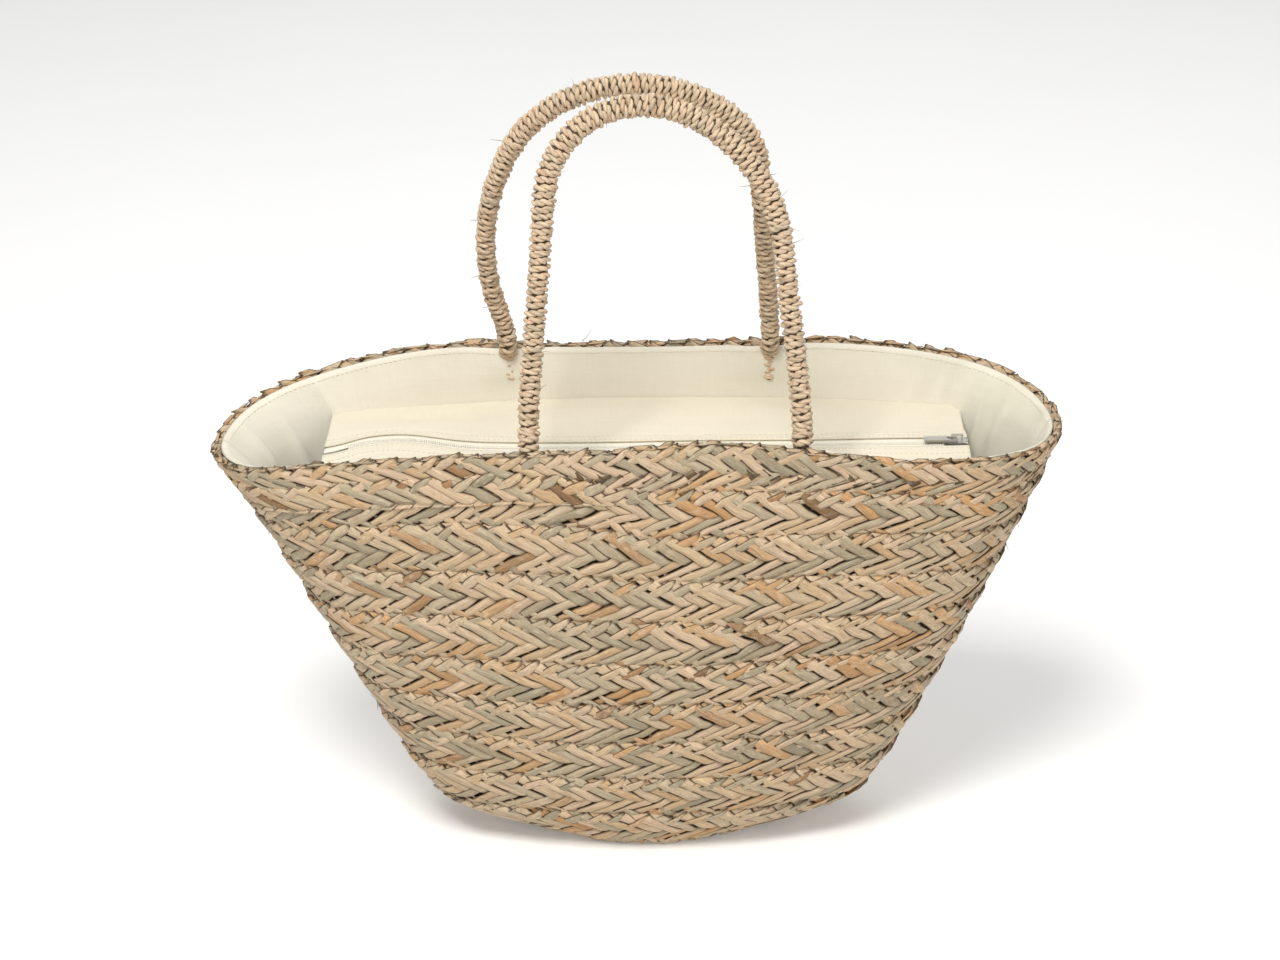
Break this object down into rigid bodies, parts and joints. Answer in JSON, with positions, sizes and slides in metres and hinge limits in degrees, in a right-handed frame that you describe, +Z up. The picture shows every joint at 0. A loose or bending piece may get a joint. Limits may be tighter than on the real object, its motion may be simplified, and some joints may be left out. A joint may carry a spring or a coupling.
{
  "type": "seagrass storage basket",
  "caption": "Oval woven seagrass basket with two swinging rope handles and a cotton lining closed by zipped folding flaps.",
  "frame": {"origin": "centre of the woven base's underside, on the ground", "axes": "+X along the rim towards the zip's closed end, +Y from the front to the rear, +Z up"},
  "size_m": [0.55, 0.18, 0.5387],
  "materials": {
    "seagrass_plait": "matt dry plaited seagrass",
    "handle_cord": "matt twisted seagrass cord",
    "handle_core": "matt laid fibre core",
    "sewing_thread": "matt waxed cotton thread",
    "cotton_lining": "plain-weave cream cotton",
    "zip_tape": "woven tape",
    "zip_coil": "satin nylon coil",
    "zip_metal": "plated die-cast metal"
  },
  "bodies": {
    "root": {"base_braid": "seagrass_plait", "braid_course_01": "seagrass_plait", "braid_course_02": "seagrass_plait", "braid_course_03": "seagrass_plait", "braid_course_04": "seagrass_plait", "braid_course_05": "seagrass_plait", "braid_course_06": "seagrass_plait", "braid_course_07": "seagrass_plait", "braid_course_08": "seagrass_plait", "braid_course_09": "seagrass_plait", "braid_course_10": "seagrass_plait", "front_lining_panel": "cotton_lining", "rear_lining_panel": "cotton_lining", "lining_bottom": "cotton_lining", "front_seam_strip": "cotton_lining", "rear_seam_strip": "cotton_lining", "front_left_handle_tail": "handle_cord", "front_left_handle_lashing": "sewing_thread", "front_right_handle_tail": "handle_cord", "front_right_handle_lashing": "sewing_thread", "rear_left_handle_tail": "handle_cord", "rear_left_handle_lashing": "sewing_thread", "rear_right_handle_tail": "handle_cord", "rear_right_handle_lashing": "sewing_thread"},
    "front_handle": {"front_handle_core": "handle_core", "front_handle_wrap": "handle_cord"},
    "rear_handle": {"rear_handle_core": "handle_core", "rear_handle_wrap": "handle_cord"},
    "front_flap": {"front_flap": "cotton_lining", "front_zip_tape": "zip_tape", "front_zip_coil": "zip_coil"},
    "rear_flap": {"rear_flap": "cotton_lining", "rear_zip_tape": "zip_tape", "rear_zip_coil": "zip_coil", "zip_stop_left": "zip_metal", "zip_stop_right": "zip_metal"},
    "zip_slider": {"zip_slider": "zip_metal"},
    "zip_puller": {"zip_puller": "zip_metal"}
  },
  "joints": [
    {"name": "front_handle_swing", "type": "hinge", "parent": "root", "child": "front_handle", "pos_m": [0, -0.07175, 0.34], "axis": [1, 0, 0], "range_deg": [-2.5, 118]},
    {"name": "rear_handle_swing", "type": "hinge", "parent": "root", "child": "rear_handle", "pos_m": [0, 0.07175, 0.34], "axis": [-1, 0, 0], "range_deg": [-2.5, 118]},
    {"name": "front_flap_fold", "type": "hinge", "parent": "root", "child": "front_flap", "pos_m": [0, -0.06044, 0.2836], "axis": [-1, 0, 0], "range_deg": [0, 70]},
    {"name": "rear_flap_fold", "type": "hinge", "parent": "root", "child": "rear_flap", "pos_m": [0, 0.06044, 0.2836], "axis": [1, 0, 0], "range_deg": [0, 70]},
    {"name": "zip_slide", "type": "slide", "parent": "rear_flap", "child": "zip_slider", "axis": [1, 0, 0], "range_m": [-0.416, 0]},
    {"name": "zip_puller_flip", "type": "hinge", "parent": "zip_slider", "child": "zip_puller", "pos_m": [0.20824, 0, 0.2864], "axis": [0, 1, 0], "range_deg": [0, 150]}
  ]
}
